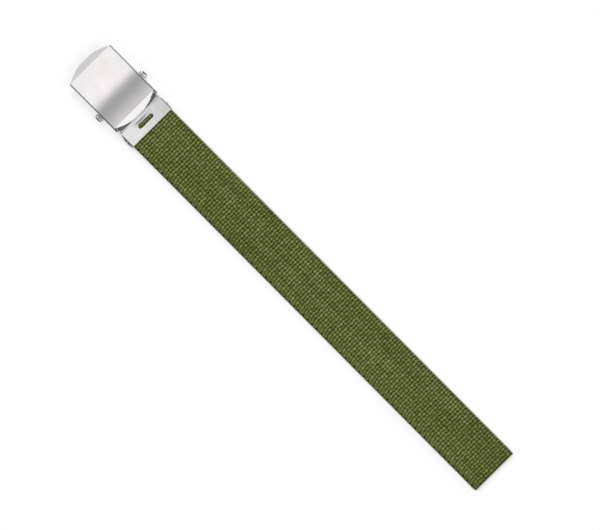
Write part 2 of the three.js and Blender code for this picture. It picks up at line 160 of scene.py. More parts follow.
class Palette:
    """A material's or the world's node tree, with one way to add each kind of node."""

    def __init__(self, tree: bpy.types.NodeTree) -> None:
        """Empties the tree and holds it."""
        self.tree = tree
        tree.nodes.clear()

    def node(self, kind: str, settings: dict | None = None, sockets: dict | None = None) -> bpy.types.Node:
        """Adds any node.

        Args:
            kind: the node's type.
            settings: the node's own settings, which are made first.
            sockets: values or links of its input sockets, by name or place.

        Returns:
            The new node.
        """
        made = self.tree.nodes.new(kind)
        for name, value in (settings or {}).items():
            if name == "stops":
                self._stops(made.color_ramp, value)
            else:
                setattr(made, name, value)
        for name, value in (sockets or {}).items():
            self._fill(made.inputs[name], value)
        return made

    def _fill(self, socket: Socket, value: object) -> None:
        """Links a shade or a socket to an input, or sets the input's own value."""
        if isinstance(value, Shade):
            self.tree.links.new(value.socket, socket)
        elif isinstance(value, Socket):
            self.tree.links.new(value, socket)
        else:
            socket.default_value = value

    @staticmethod
    def _stops(ramp: bpy.types.ColorRamp, stops: list[tuple[float, Triple]]) -> None:
        """Writes a ramp's stops as (place, colour) pairs in rising order."""
        while len(ramp.elements) > 1:
            ramp.elements.remove(ramp.elements[-1])
        ramp.elements[0].position = stops[0][0]
        ramp.elements[0].color = (*stops[0][1], 1)
        for place, colour in stops[1:]:
            ramp.elements.new(place).color = (*colour, 1)

    def shade(self, kind: str, output: str, *details: dict) -> Shade:
        """One output of a new node with these settings and sockets, as a shade."""
        return Shade(self.tree, self.node(kind, *details).outputs[output])

    def product(self, first: object, second: object) -> Socket:
        """Two vectors or colours multiplied part by part."""
        made = self.node("ShaderNodeVectorMath", {"operation": "MULTIPLY"}, {0: first, 1: second})
        return made.outputs[0]

    def places(self, scale: Triple = WHITE) -> Socket:
        """Places on the piece, in metres in its own frame, times a scale along each axis."""
        return self.product(self.node("ShaderNodeTexCoord").outputs["Object"], scale)

    def parts(self, vector: Socket) -> list[Shade]:
        """A vector's X, Y and Z."""
        split = self.node("ShaderNodeSeparateXYZ", {}, {0: vector})
        return [Shade(self.tree, socket) for socket in split.outputs]

    def noise(self, where: Socket, scale: float = 1.0, detail: float = 2.0, rough: float = 0.5) -> Shade:
        """Soft noise around 0.5: how often it changes, and how many finer layers it has and how strong."""
        sockets = {"Vector": where, "Scale": scale, "Detail": detail, "Roughness": rough}
        return self.shade("ShaderNodeTexNoise", "Fac", {}, sockets)

    def carried(self, name: str) -> Shade:
        """A value that the mesh carries at its vertices."""
        return self.shade("ShaderNodeAttribute", "Fac", {"attribute_name": name})

    def ramp(self, value: Shade, stops: list[tuple[float, Triple]]) -> Socket:
        """A colour looked up in (place, colour) stops."""
        return self.node("ShaderNodeValToRGB", {"stops": stops}, {"Fac": value}).outputs["Color"]

    def mixed(self, share: Shade, first: object, second: object) -> Socket:
        """Two colours or colour sockets mixed, with the share of the second that shows."""
        made = self.node("ShaderNodeMix", {"data_type": "RGBA"}, {0: share})
        for place, value in ((6, first), (7, second)):
            self._fill(made.inputs[place], (*value, 1) if isinstance(value, tuple) else value)
        return made.outputs[2]

    def bump(self, height: Shade, depth: float, strength: float = 1.0) -> Socket:
        """A normal that follows a height, where height 1 stands depth metres high."""
        sockets = {"Strength": strength, "Distance": depth, "Height": height}
        return self.node("ShaderNodeBump", {}, sockets).outputs["Normal"]

    def surface(self, **sockets: object) -> None:
        """Ends a material in one Principled shader; an underscore in a name stands for a space."""
        named = {name.replace("_", " "): value for name, value in sockets.items()}
        shader = self.node("ShaderNodeBsdfPrincipled", {}, named)
        self.node("ShaderNodeOutputMaterial", {}, {"Surface": shader.outputs[0]})


def new_palette(name: str) -> tuple[bpy.types.Material, Palette]:
    """A new material and its palette."""
    material = bpy.data.materials.new(name)
    material.use_nodes = True
    return material, Palette(material.node_tree)


def dimmed(colour: Triple, share: float) -> Triple:
    """A share of a colour."""
    return tuple(share * channel for channel in colour)


@dataclass(frozen=True)
class ShadePatch:
    """A soft patch painted darker, used for painted shade on the plates and a painted shadow on the floor:
    its middle and reach along X and Y, what colour is left there and how matt it is.
    """

    middle: Point
    reach: Point
    left: float = 0.42
    matt: float = 0.0

    def over(self, nodes: Palette, where: Socket) -> Shade:
        """1 in the patch's middle, falling to 0 at its reach."""
        near: Shade | float = 1.0
        for place, middle, reach in zip(nodes.parts(where), self.middle, self.reach):
            near = near - ((place - middle) * (1 / reach)) ** 2
        return near.clipped()


@dataclass(frozen=True)
class PlatedSteel:
    """Pressed or turned steel with a satin plate, finely marked along its grain."""

    name: str
    slot: str
    colour: Triple
    roughness: float
    grain: Grain
    grain_depth: float = 1.5e-6
    cloudiness: float = 0.06
    scratch_scale: Triple = (900.0, 70.0, 900.0)
    # The share of colour left where the clouds and the painted shade are darkest, and how much darker the
    # plate is painted towards +Y per metre, as painted shade.
    darkest_cloud_and_shade: float = 0.9
    painted_shade_towards_y: float = 0.0
    # Soft patches painted darker over the plate, most of them painted shade.
    shade_patches: tuple[ShadePatch, ...] = ()

    def material(self) -> bpy.types.Material:
        """A metal with grain, clouds and fine scratches, with patches of painted shade, whose plate is
        painted darker towards +Y as painted shade.
        """
        material, nodes = new_palette(self.name)
        where = nodes.places()
        grain = nodes.noise(nodes.places(self.grain.value), detail=3, rough=0.6)
        clouds = nodes.noise(where, scale=140, detail=3, rough=0.55)
        rubbed = nodes.noise(nodes.places(self.scratch_scale), detail=1).above(0.66, 0.74)
        # Random clouds in the plate's tone, plus painted shade that darkens the plate towards +Y.
        clouds_and_painted_shade = (clouds - 0.5) * 1.6 + 0.4 + nodes.parts(where)[1] * self.painted_shade_towards_y
        tint = nodes.mixed(clouds_and_painted_shade, self.colour, dimmed(self.colour, self.darkest_cloud_and_shade))
        metal: Shade | float = 1.0
        for shade_patch in self.shade_patches:
            over = shade_patch.over(nodes, where)
            tint = nodes.mixed(over, tint, dimmed(self.colour, shade_patch.left))
            if shade_patch.matt > 0:
                metal = metal - over * shade_patch.matt
        rough = self.roughness + (clouds - 0.5) * self.cloudiness + (grain - 0.5) * 0.08 + rubbed * 0.04
        nodes.surface(
            Base_Color=tint,
            Metallic=metal,
            Roughness=rough.clipped(0.05, 0.9),
            Normal=nodes.bump(grain + rubbed * 0.5, self.grain_depth),
        )
        return material


@dataclass(frozen=True)
class OliveCanvas:
    """Coarse cotton web, piece dyed olive, with painted shade in the pits between its yarns and a painted
    highlight on their crowns.
    """

    name: str = "olive_canvas"
    slot: str = "olive_web"
    # Colours by the weave's relief: pit and hollow are painted shade, yarn is the dyed yarn's own colour,
    # crown is a painted highlight.
    pit_shade: Triple = (0.006, 0.008, 0.0005)
    hollow: Triple = (0.033, 0.040, 0.005)
    yarn: Triple = (0.104, 0.120, 0.030)
    crown: Triple = (0.280, 0.316, 0.118)
    fibre_scale: Triple = (1500.0, 5200.0, 3000.0)
    bolt_scale: Triple = (18.0, 160.0, 40.0)

    def material(self) -> bpy.types.Material:
        """A rough cloth with painted shade between its yarns and a painted highlight on their crowns, with
        twisted strands and loose fibre.
        """
        material, nodes = new_palette(self.name)
        relief, pick, row, cut = (nodes.carried(name) for name in ("relief", "pick", "row", "cut"))
        fibre = nodes.noise(nodes.places(self.fibre_scale), detail=4, rough=0.65)
        mottle = nodes.noise(nodes.places(), scale=420, detail=3, rough=0.6)
        bolt = nodes.noise(nodes.places(self.bolt_scale), detail=2)
        twist = (row * 19.0 + pick * 6.283 + mottle * 5.0).wave() * 0.5 + 0.5
        # The relief sets painted shade in the pits and a painted highlight on the crowns; fibre, mottle, bolt
        # and twist are the yarn's own tone.
        light = relief * 0.80 + (fibre - 0.5) * 0.42 + (mottle - 0.5) * 0.30 + (twist - 0.5) * 0.12
        stops = [(0.02, self.pit_shade), (0.30, self.hollow), (0.62, self.yarn), (0.95, self.crown)]
        cloth = nodes.ramp(light + (bolt - 0.5) * 0.25, stops)
        nodes.surface(
            Base_Color=nodes.mixed(cut * 0.6, cloth, self.hollow),
            Roughness=0.86 + (fibre - 0.5) * 0.2,
            Normal=nodes.bump(fibre * 0.6 + twist * 0.5 + mottle * 0.4, 1.1e-4, 0.8),
            Specular_IOR_Level=0.06,
            Sheen_Weight=0.02,
            Sheen_Roughness=0.5,
        )
        return material


@dataclass(frozen=True)
class PaleFloor:
    """The studio's plain floor: a pale sheet with a painted glow all round the belt, which gives way to
    painted shadows beside it.
    """

    name: str = "pale_floor"
    colour: Triple = (0.23, 0.23, 0.23)
    painted_glow: float = 0.755
    # Where the painted glow rises out of the dark mask under the belt, in metres: past the lip, past the cut
    # end, on +Y and on -Y; past the cut end and on -Y its last share rises slowly, as a faint painted shadow.
    lip_end: Point = (0.1665, 0.1695)
    cut_end: Triple = (0.1735, 0.1765, 0.1800)
    light_side: Point = (0.0150, 0.0168)
    painted_shadow_side: Triple = (0.0150, 0.0168, 0.0235)
    faint_shadow_share: float = 0.11
    # A painted contact shadow at the clamp's -Y foot.
    clamp_painted_shadow: ShadePatch = ShadePatch((-0.1214, -0.0169), (0.0056, 0.0010), 0.0)

    def material(self) -> bpy.types.Material:
        """A matt sheet with a painted glow that only the camera sees, masked off under the belt and faded
        into painted shadows on its -Y side, past its cut end and at the clamp's foot.
        """
        material, nodes = new_palette(self.name)
        where = nodes.places()
        along, across, _ = nodes.parts(where)
        # The painted glow is masked off under the belt, so that the gaps in the belt read as shade.
        painted_glow = (0 - along).above(*self.lip_end) + across.above(*self.light_side)
        for away, (inner, middle, outer) in ((0 - across, self.painted_shadow_side), (along, self.cut_end)):
            painted_glow = painted_glow + away.above(inner, middle) * (1 - self.faint_shadow_share)
            painted_glow = painted_glow + away.above(middle, outer) * self.faint_shadow_share
        painted_glow = painted_glow.clipped() * (1 - self.clamp_painted_shadow.over(nodes, where) * (1 - self.clamp_painted_shadow.left))
        seen = nodes.shade("ShaderNodeLightPath", "Is Camera Ray")
        nodes.surface(
            Base_Color=nodes.mixed(nodes.noise(where, scale=3), self.colour, dimmed(self.colour, 0.99)),
            Roughness=0.9,
            Specular_IOR_Level=0.1,
            Emission_Color=nodes.mixed(painted_glow * seen, BLACK, WHITE),
            Emission_Strength=self.painted_glow,
        )
        return material


def smooth_step(value: float | np.ndarray, start: float, end: float) -> float | np.ndarray:
    """0 up to start, 1 from end on, and an S curve between."""
    share = np.clip((value - start) / (end - start), 0, 1)
    return share * share * (3 - 2 * share)


def arc(centre: Point, radius: float, start: float, end: float, steps: int = CURVE_STEPS) -> list[Point]:
    """The steps + 1 points of an arc from one angle to another, in radians."""
    angles = [start + (end - start) * i / steps for i in range(steps + 1)]
    return [(centre[0] + radius * math.cos(a), centre[1] + radius * math.sin(a)) for a in angles]


def bezier(first: Point, pull_a: Point, pull_b: Point, last: Point) -> list[Point]:
    """The points that follow the first on a cubic curve with two control points."""
    points = []
    pulls = (first, pull_a, pull_b, last)
    for i in range(1, CURVE_STEPS + 1):
        t = i / CURVE_STEPS
        weights = ((1 - t) ** 3, 3 * t * (1 - t) ** 2, 3 * t * t * (1 - t), t**3)
        points.append(tuple(sum(w * p[axis] for w, p in zip(weights, pulls)) for axis in range(2)))
    return points


def slot_outline(start: Point, end: Point, width: float) -> list[Point]:
    """A round-ended slot between two points."""
    along = math.atan2(end[1] - start[1], end[0] - start[0])
    head = arc(end, width / 2, along - QUARTER, along + QUARTER)
    return head + arc(start, width / 2, along + QUARTER, along + 3 * QUARTER)


def placed(name: str, data: bpy.types.ID) -> bpy.types.Object:
    """A new object in the scene."""
    obj = bpy.data.objects.new(name, data)
    bpy.context.scene.collection.objects.link(obj)
    return obj


class Solid:
    """A closed body, which is cut (-), kept (&) and joined (+) like stock on a bench."""

    merge_distance = 2e-3
    sliver = 1e-3
    flat_angle = math.radians(0.05)
    sharp_angle = math.radians(32)

    def __init__(self, mesh: bpy.types.Mesh) -> None:
        """Holds a closed mesh."""
        self.mesh = mesh

    @classmethod
    def ringed(cls, points: list, count: int) -> Solid:
        """A body from rings of that many points, one after another, closed at its two ends."""
        last = len(points) - count
        faces = []
        for ring in range(0, last, count):
            for i in range(count):
                a, b = ring + i, ring + (i + 1) % count
                faces.append((a, b, b + count, a + count))
        faces.append(tuple(reversed(range(count))))
        faces.append(tuple(range(last, last + count)))
        mesh = bpy.data.meshes.new("stock")
        mesh.from_pydata(points, [], faces)
        mesh.validate()
        work = bmesh.new()
        work.from_mesh(mesh)
        bmesh.ops.remove_doubles(work, verts=work.verts, dist=1e-5)
        bmesh.ops.recalc_face_normals(work, faces=work.faces)
        work.to_mesh(mesh)
        work.free()
        return cls(mesh)

    @classmethod
    def lofted(cls, section: list[Point], stations: list[Point]) -> Solid:
        """A closed (y, z) section carried through (x, lift) stations."""
        return cls.ringed([(x, y, z + lift) for x, lift in stations for y, z in section], len(section))

    @classmethod
    def across(cls, outline: list[Point], half: float) -> Solid:
        """An (x, z) outline pushed through Y from -half to half."""
        return cls.ringed([(x, side * half, z) for side in (-1, 1) for x, z in outline], len(outline))

    @classmethod
    def upwards(cls, outline: list[Point], low: float, high: float) -> Solid:
        """An (x, y) outline pushed up from low to high."""
        return cls.ringed([(x, y, z) for z in (low, high) for x, y in outline], len(outline))

    @classmethod
    def rod(cls, centre: Point, radius: float, half: float, sides: int = 2 * CURVE_STEPS) -> Solid:
        """A round rod through Y from -half to half."""
        return cls.across(arc(centre, radius, 0, 2 * math.pi, sides)[:-1], half)

    @classmethod
    def turned(cls, centre: Point, sides: int, half: list[Row]) -> Solid:
        """A round piece that lies across the belt and is the same on both sides of its middle.

        Args:
            centre: its axis seen from the side.
            sides: how many sides it has.
            half: its (y, radius, flute depth, flute count) rows from its middle outwards.

        Returns:
            A body with a flat centre at each end.
        """
        other = [(-y, radius, depth, flutes) for y, radius, depth, flutes in reversed(half) if y > 0]
        angles = np.arange(sides) * 2 * math.pi / sides
        rings = []
        for y, radius, depth, flutes in other + half:
            valley = 0.5 - 0.5 * np.cos(angles * flutes)
            reach = radius - depth * valley**0.8
            xs = centre[0] + reach * np.cos(angles)
            zs = centre[1] + reach * np.sin(angles)
            rings.append(np.stack([xs, np.full(sides, y), zs], 1))
        return cls.ringed(np.concatenate(rings).tolist(), sides)

    def _with(self, other: Solid, way: Join) -> Solid:
        """This body combined with the other."""
        pair = [placed("stock", body.mesh) for body in (self, other)]
        cutter = pair[0].modifiers.new("cut", "BOOLEAN")
        cutter.operation = way.value
        cutter.solver = "MANIFOLD"
        cutter.object = pair[1]
        graph = bpy.context.evaluated_depsgraph_get()
        made = bpy.data.meshes.new_from_object(pair[0].evaluated_get(graph))
        for obj in pair:
            bpy.data.objects.remove(obj)
        return Solid(made)

    def __sub__(self, other: Solid) -> Solid:
        """This body with the other cut out of it."""
        return self._with(other, Join.CUT)

    def __and__(self, other: Solid) -> Solid:
        """What this body and the other share."""
        return self._with(other, Join.KEEP)

    def __add__(self, other: Solid) -> Solid:
        """This body and the other as one."""
        return self._with(other, Join.ADD)

    def eased(self, edge: float) -> bpy.types.Mesh:
        """The body's mesh with its flats joined and its sharp edges broken, as far in as edge says."""
        work = bmesh.new()
        work.from_mesh(self.mesh)
        bmesh.ops.remove_doubles(work, verts=work.verts, dist=self.merge_distance)
        bmesh.ops.dissolve_limit(
            work, angle_limit=self.flat_angle, verts=work.verts, edges=work.edges,
            use_dissolve_boundaries=False,
        )
        edges = [e for e in work.edges if e.is_manifold and e.calc_face_angle(0.0) > self.sharp_angle]
        bmesh.ops.bevel(
            work, geom=edges, offset=edge, offset_type="OFFSET", segments=2, profile=0.6, affect="EDGES",
            clamp_overlap=False,
        )
        bmesh.ops.remove_doubles(work, verts=work.verts, dist=self.sliver)
        bmesh.ops.triangulate(work, faces=[f for f in work.faces if len(f.verts) > 4])
        work.to_mesh(self.mesh)
        work.free()
        return self.mesh


class Part:
    """A piece of the belt: each kind gives its name, the node that it stands for and its body."""

    name = "part"
    node = "part"
    body = Body.STRAP
    smooth_deg = 30.0
    flats = True
    finish: PlatedSteel | OliveCanvas

    def mesh(self) -> bpy.types.Mesh:
        """The piece's mesh in millimetres, measured from the free lip's tip."""
        raise NotImplementedError

    def build(self, lip_tip: float) -> bpy.types.Object:
        """Makes the piece and gives it its finish and its place in the frame.

        Args:
            lip_tip: where the free lip's tip lies in the frame, in metres.

        Returns:
            The new object, at the frame's origin.
        """
        mesh = self.mesh()
        flat = np.empty(len(mesh.vertices) * 3)
        mesh.vertices.foreach_get("co", flat)
        places = flat.reshape(-1, 3) * MM
        places[:, 0] += lip_tip
        mesh.vertices.foreach_set("co", places.ravel())
        mesh.name = self.name
        mesh.shade_smooth()
        mesh.set_sharp_from_angle(angle=math.radians(self.smooth_deg))
        mesh.update()
        obj = placed(self.name, mesh)
        if self.flats:
            weights = obj.modifiers.new("flats", "WEIGHTED_NORMAL")
            weights.keep_sharp = True
            weights.weight = 100
        mesh.materials.clear()
        mesh.materials.append(self.finish.material())
        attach(obj, self.body.value)
        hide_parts(self.node)
        log.info("%s: %d faces, replaces %s", obj.name, len(mesh.polygons), self.node)
        return obj


class PressedPart(Part):
    """A piece pressed from sheet over a former, then trimmed and pierced by tools that reach clear of it."""

    sheet: float
    bend: float
    inner_bend: float
    clear = 5.0
    depth = 20.0
    round_steps = 8

    def _section(self, half: float, radius: float, depth: float) -> list[Point]:
        """A block's (y, z) section with its top at zero and its upper corners rounded."""
        right = arc((half - radius, -radius), radius, 0, QUARTER, self.round_steps)
        left = [(-y, z) for y, z in reversed(right)]
        return [(-half, -depth), (half, -depth), *right, *left]

    def pressed(self, half: float, stations: list[Point]) -> Solid:
        """A channel, open below, of that half width, whose outer side follows (x, height) stations."""
        outer = Solid.lofted(self._section(half, self.bend, self.depth), stations)
        lowered = [(x, z - self.sheet) for x, z in stations]
        lowered[0] = (lowered[0][0] - self.clear, lowered[0][1])
        lowered[-1] = (lowered[-1][0] + self.clear, lowered[-1][1])
        inner = self._section(half - self.sheet, self.inner_bend, self.depth + self.clear)
        return outer - Solid.lofted(inner, lowered)


@dataclass
class Cover(PressedPart):
    """The buckle's cover: an arched face, two bent lips and two flanges with slots and pin ears."""

    name = "arched_cover"
    node = "buckle_cover"
    body = Body.COVER

    inner_half: float = 16.45
    sheet: float = 0.8
    height: float = 10.0
    bend: float = 1.0
    inner_bend: float = 0.25
    face_length: float = 38.0
    arch_radius: float = 130.0
    lip_reach: float = 4.5
    lip_bend_deg: float = 12.0
    lip_inset: float = 1.1
    crease_half: float = 0.16
    crease_samples: int = 9
    corner: float = 2.0
    roller_to_crease: float = 11.2
    roller_low: float = 3.4
    roller_high: float = 6.2
    roller_slope_deg: float = 25.0
    slot_width: float = 3.0
    hinge_past_crease: float = 0.7
    ear_radius: float = 1.7
    ear_slope_deg: float = 60.0
    hole_radius: float = 0.85
    edge: float = 0.09
    arch_steps: int = 64
    finish: PlatedSteel = PlatedSteel(
        "satin_plate", "cover_metal", (0.915, 0.90, 0.895), 0.15, Grain.BRUSHED_ACROSS
    )

    def __post_init__(self) -> None:
        """Works out half the width, the creases' places, and the resting roller's and the pin's (x, z)."""
        self.half = self.inner_half + self.sheet
        self.creases = (self.lip_reach, self.lip_reach + self.face_length)
        self.roller = (self.creases[1] - self.roller_to_crease, self.roller_low)
        self.pin = (self.creases[1] + self.hinge_past_crease, self.ear_radius)

    def _sharp_height(self, x: float) -> float:
        """The outer side's height if its creases were sharp."""
        half = self.face_length / 2
        away = abs(x - sum(self.creases) / 2)
        arch = math.sqrt(self.arch_radius**2 - min(away, half) ** 2) - self.arch_radius
        slope = math.asin(half / self.arch_radius) + math.radians(self.lip_bend_deg)
        return self.height + arch - max(away - half, 0) * math.tan(slope)

    def height_at(self, x: float) -> float:
        """The outer side's height, with each crease pressed round over its width."""
        if min(abs(x - crease) for crease in self.creases) > 2 * self.crease_half:
            return self._sharp_height(x)
        last = self.crease_samples - 1
        offsets = [self.crease_half * (2 * i / last - 1) for i in range(self.crease_samples)]
        return sum(self._sharp_height(x + offset) for offset in offsets) / self.crease_samples

    def _stations(self) -> list[Point]:
        """(x, height) pairs along the cover, closer together at the creases."""
        xs = {0.0, self.creases[1] + self.lip_reach}
        xs.update(np.linspace(*self.creases, self.arch_steps + 1).tolist())
        for crease in self.creases:
            xs.update(crease + self.crease_half * share for share in (-2, -1, -0.67, -0.33, 0.33, 0.67, 1, 2))
        ordered = sorted(xs)
        kept = [x for i, x in enumerate(ordered) if i == 0 or x - ordered[i - 1] > 0.05]
        return [(x, self.height_at(x)) for x in kept]

    def _flange_outline(self) -> list[Point]:
        """The flange seen from the side, with a round ear for the pin."""
        free, strap = self.creases
        above = self.height + self.clear
        corner = arc((free + self.corner, self.corner), self.corner, 2 * QUARTER, 3 * QUARTER)
        ear = arc(self.pin, self.ear_radius, -QUARTER, math.radians(self.ear_slope_deg), 2 * CURVE_STEPS)
        return [(free, above), *corner, *ear, (strap, 3 * self.ear_radius), (strap, above)]

    def _lip_outline(self, crease: float, direction: int) -> list[Point]:
        """A lip seen from above: an arc that bulges by the lip's reach."""
        chord = self.half - self.lip_inset
        radius = (chord**2 + self.lip_reach**2) / (2 * self.lip_reach)
        centre = (crease + direction * (self.lip_reach - radius), 0.0)
        spread = math.asin(chord / radius)
        middle = 0.0 if direction > 0 else math.pi
        edge = arc(centre, radius, middle - spread, middle + spread, 3 * CURVE_STEPS)
        inside = crease - direction * self.sheet
        return [(inside, -direction * chord), *edge, (inside, direction * chord)]

    def mesh(self) -> bpy.types.Mesh:
        """Presses, trims and pierces the cover."""
        shell = self.pressed(self.half, self._stations())
        through = self.half + self.clear
        body = shell & Solid.across(self._flange_outline(), through)
        for crease, direction in zip(self.creases, (-1, 1)):
            outline = self._lip_outline(crease, direction)
            body = body + (shell & Solid.upwards(outline, 0, self.height + self.clear))
        back = (self.roller_high - self.roller_low) / math.tan(math.radians(self.roller_slope_deg))
        raised = (self.roller[0] - back, self.roller_high)
        slot = Solid.across(slot_outline(self.roller, raised, self.slot_width), through)
        return (body - slot - Solid.rod(self.pin, self.hole_radius, through)).eased(self.edge)


@dataclass
class Roller(Part):
    """The knurled bar, turned in one with its necks and its two domed knobs."""

    name = "fluted_roller"
    node = "roller_bar"
    body = Body.ROLLER
    smooth_deg = 40.0

    cover: Cover
    grip_diameter: float = 4.6
    grip_flutes: int = 20
    grip_flute_depth: float = 0.22
    grip_gap: float = 0.35
    grip_chamfer: float = 0.3
    neck_diameter: float = 2.5
    knob_diameter: float = 5.2
    knob_length: float = 2.85
    knob_flutes: int = 14
    knob_flute_depth: float = 0.40
    knob_gap: float = 0.25
    dome_start: float = 0.45
    dome_turn: float = 0.94
    dome_steps: int = 16
    sides: int = 280
    finish: PlatedSteel = PlatedSteel("bright_plate", "roller_metal", dimmed(WHITE, 0.56), 0.16, Grain.TURNED)

    def _knob_rows(self, foot: float) -> list[Row]:
        """The +Y knob's rows from its foot out to its tip."""
        full = self.knob_diameter / 2
        deep = self.knob_flute_depth
        rows = [
            (foot, 0.86 * full, 0.0, self.knob_flutes),
            (foot + 0.1, 0.97 * full, 0.6 * deep, self.knob_flutes),
            (foot + 0.12 * self.knob_length, full, deep, self.knob_flutes),
        ]
        last = QUARTER * self.dome_turn
        for i in range(self.dome_steps + 1):
            turn = i / self.dome_steps * last
            out = self.dome_start + (1 - self.dome_start) * math.sin(turn) / math.sin(last)
            radius = full * max(math.cos(turn), 0.05) ** 0.8
            depth = deep * math.cos(turn) ** 1.5
            rows.append((foot + out * self.knob_length, radius, depth, self.knob_flutes))
        return rows

    def mesh(self) -> bpy.types.Mesh:
        """Turns and knurls the bar."""
        grip_end = self.cover.inner_half - self.grip_gap
        foot = self.cover.half + self.knob_gap
        grip = self.grip_diameter / 2
        neck = self.neck_diameter / 2
        depth = self.grip_flute_depth
        half = [
            (0.0, grip, depth, self.grip_flutes),
            (grip_end - self.grip_chamfer, grip, depth, self.grip_flutes),
            (grip_end, grip - self.grip_chamfer, 0.0, self.grip_flutes),
            (grip_end, neck, 0.0, 0),
            (foot, neck, 0.0, 0),
            *self._knob_rows(foot),
        ]
        return Solid.turned(self.cover.roller, self.sides, half).mesh


@dataclass
class HingePin(Part):
    """The plain pin that hangs the clamp between the cover's flanges."""

    name = "hinge_wire"
    node = "hinge_pin"
    smooth_deg = 50.0

    cover: Cover
    diameter: float = 1.2
    proud: float = 0.15
    round_steps: int = 5
    sides: int = 48
    finish: PlatedSteel = PlatedSteel("drawn_wire", "pin_metal", (0.74, 0.735, 0.73), 0.26, Grain.DRAWN)

    def mesh(self) -> bpy.types.Mesh:
        """Cuts the pin and rounds its ends."""
        end = self.cover.half + self.proud
        inner = (self.diameter / 2 - self.proud, end - self.proud)
        ring = arc(inner, self.proud, 0, QUARTER, self.round_steps)
        return Solid.turned(self.cover.pin, self.sides, [(y, radius, 0.0, 0) for radius, y in ring]).mesh


@dataclass
class Clamp(PressedPart):
    """The clamp plate: a slotted, flanged plate with a narrower neck that dips under the cover's lip."""

    name = "pressed_clamp"
    node = "clamp_plate"

    cover: Cover
    web_half: float = 16.0
    web_thickness: float = 2.0
    sheet: float = 0.6
    length: float = 8.7
    bend: float = 0.9
    inner_bend: float = 0.3
    side_gap: float = 0.15
    web_gap: float = 0.25
    floor_gap: float = 0.2
    flange_inset: float = 0.6
    corner: float = 0.8
    neck_length: float = 6.1
    neck_flare: float = 2.2
    neck_waist: float = 15.2
    neck_root_gap: float = 0.6
    ear_gap: float = 0.25
    neck_rise: Point = (0.3, 3.7)
    window_length: float = 11.8
    window_width: float = 2.8
    window_to_mouth: float = 5.7
    dent_length: float = 8.4
    dent_width: float = 1.4
    dent_depth: float = 0.05
    dent_to_window: float = 2.45
    dent_steps: int = 6
    dent_sides: int = 720
    jaw_top: float = 1.4
    jaw_sheet: float = 0.9
    stud_to_mouth: float = 4.5
    stud_diameter: float = 1.0
    edge: float = 0.08
    finish: PlatedSteel = PlatedSteel(
        "satin_clamp",
        "clamp_metal",
        (0.94, 0.93, 0.925),
        0.22,
        Grain.BRUSHED_ACROSS,
        darkest_cloud_and_shade=0.78,
        # Painted shade: the clamp plate is painted darker towards +Y.
        painted_shade_towards_y=34.0,
        shade_patches=(
            # Painted shade in the dent beside the window.
            ShadePatch((-0.1256, -0.0016), (0.0013, 0.0062)),
            # Painted shade along the clamp's lower (-Y) bend.
            ShadePatch((-0.1216, -0.0169), (0.0085, 0.0008), 0.20),
            # A patch on the neck under the cover's lip, dimmed a little and made partly matt.
            ShadePatch((-0.1299, 0.0), (0.0028, 0.0300), 0.90, 0.28),
            # Painted shade along the cover's lip, towards each side of the neck.
            ShadePatch((-0.1286, -0.0137), (0.0013, 0.0056), 0.60),
            ShadePatch((-0.1286, 0.0125), (0.0013, 0.0075), 0.55),
        ),
    )

    def __post_init__(self) -> None:
        """Works out the places and heights that follow from the others.

        The neck is as wide as the plate from the shoulder on, and the strap leaves the clamp at its mouth.
        """
        self.shoulder = self.cover.pin[0] + self.neck_length
        self.mouth = self.shoulder + self.length
        self.half = self.web_half + self.side_gap + self.sheet
        self.web_middle = self.jaw_top + self.web_gap + self.web_thickness / 2
        self.top = self.web_middle + self.web_thickness / 2 + self.web_gap + self.sheet
        self.neck_top = self.cover.ear_radius + self.cover.hole_radius + self.sheet
        self.ear_radius = self.cover.ear_radius - self.floor_gap
        self.stud = (self.mouth - self.stud_to_mouth, self.jaw_top - self.jaw_sheet / 2)

    def height_at(self, x: float) -> float:
        """The outer side's height: level over the pin, a smooth rise, level to the mouth."""
        share = smooth_step(x - self.cover.pin[0], *self.neck_rise)
        return self.neck_top + (self.top - self.neck_top) * share

    def _neck_places(self) -> list[float]:
        """Places along the neck, close together where it rises."""
        pin = self.cover.pin[0]
        rise = np.linspace(*self.neck_rise, 2 * CURVE_STEPS + 1) + pin
        return [pin - self.ear_radius, *rise.tolist(), self.shoulder]

    def _outline(self) -> list[Point]:
        """The clamp seen from above."""
        pin = self.cover.pin[0]
        root = self.cover.inner_half - self.neck_root_gap
        root_x = pin + self.ear_radius
        waist = (self.shoulder - self.neck_flare, -self.neck_waist)
        wide = (self.shoulder, -self.half)
        side = [(pin - self.ear_radius, -root), (root_x, -root)]
        for end in (waist, wide):
            start = side[-1]
            between = (start[0] + end[0]) / 2
            side += bezier(start, (between, start[1]), (between, end[1]), end)
        side.append((self.mouth, -self.half))
        return side + [(x, -y) for x, y in reversed(side)]

    def _side_outline(self) -> list[Point]:
        """The clamp seen from the side: its sheet all along and a flange between the insets."""
        low = self.floor_gap + self.corner
        first = self.shoulder + self.flange_inset
        last = self.mouth - self.flange_inset
        above = self.top + self.clear
        under = [(x, self.height_at(x) - self.sheet) for x in self._neck_places()]
        heel = arc((first + self.corner, low), self.corner, 2 * QUARTER, 3 * QUARTER)
        toe = arc((last - self.corner, low), self.corner, 3 * QUARTER, 4 * QUARTER)
        floor = self.top - self.sheet
        ends = [(last, floor), (self.mouth, floor), (self.mouth, above)]
        return [(under[0][0], above), *under, (first, floor), *heel, *toe, *ends]

    def _ears(self) -> Solid:
        """The neck's ears, which hang inside the cover's flanges and take the pin."""
        pin = self.cover.pin
        half = self.cover.inner_half - self.ear_gap
        ends = [(pin[0] + side * (self.ear_radius + self.clear), self.neck_top) for side in (-1, 1)]
        channel = self.pressed(half, ends)
        under = arc(pin, self.ear_radius, math.pi, 2 * math.pi, 2 * CURVE_STEPS)
        left, right = ((pin[0] + side * self.ear_radius, self.neck_top) for side in (-1, 1))
        return channel & Solid.across([left, *under, right], half + self.clear)

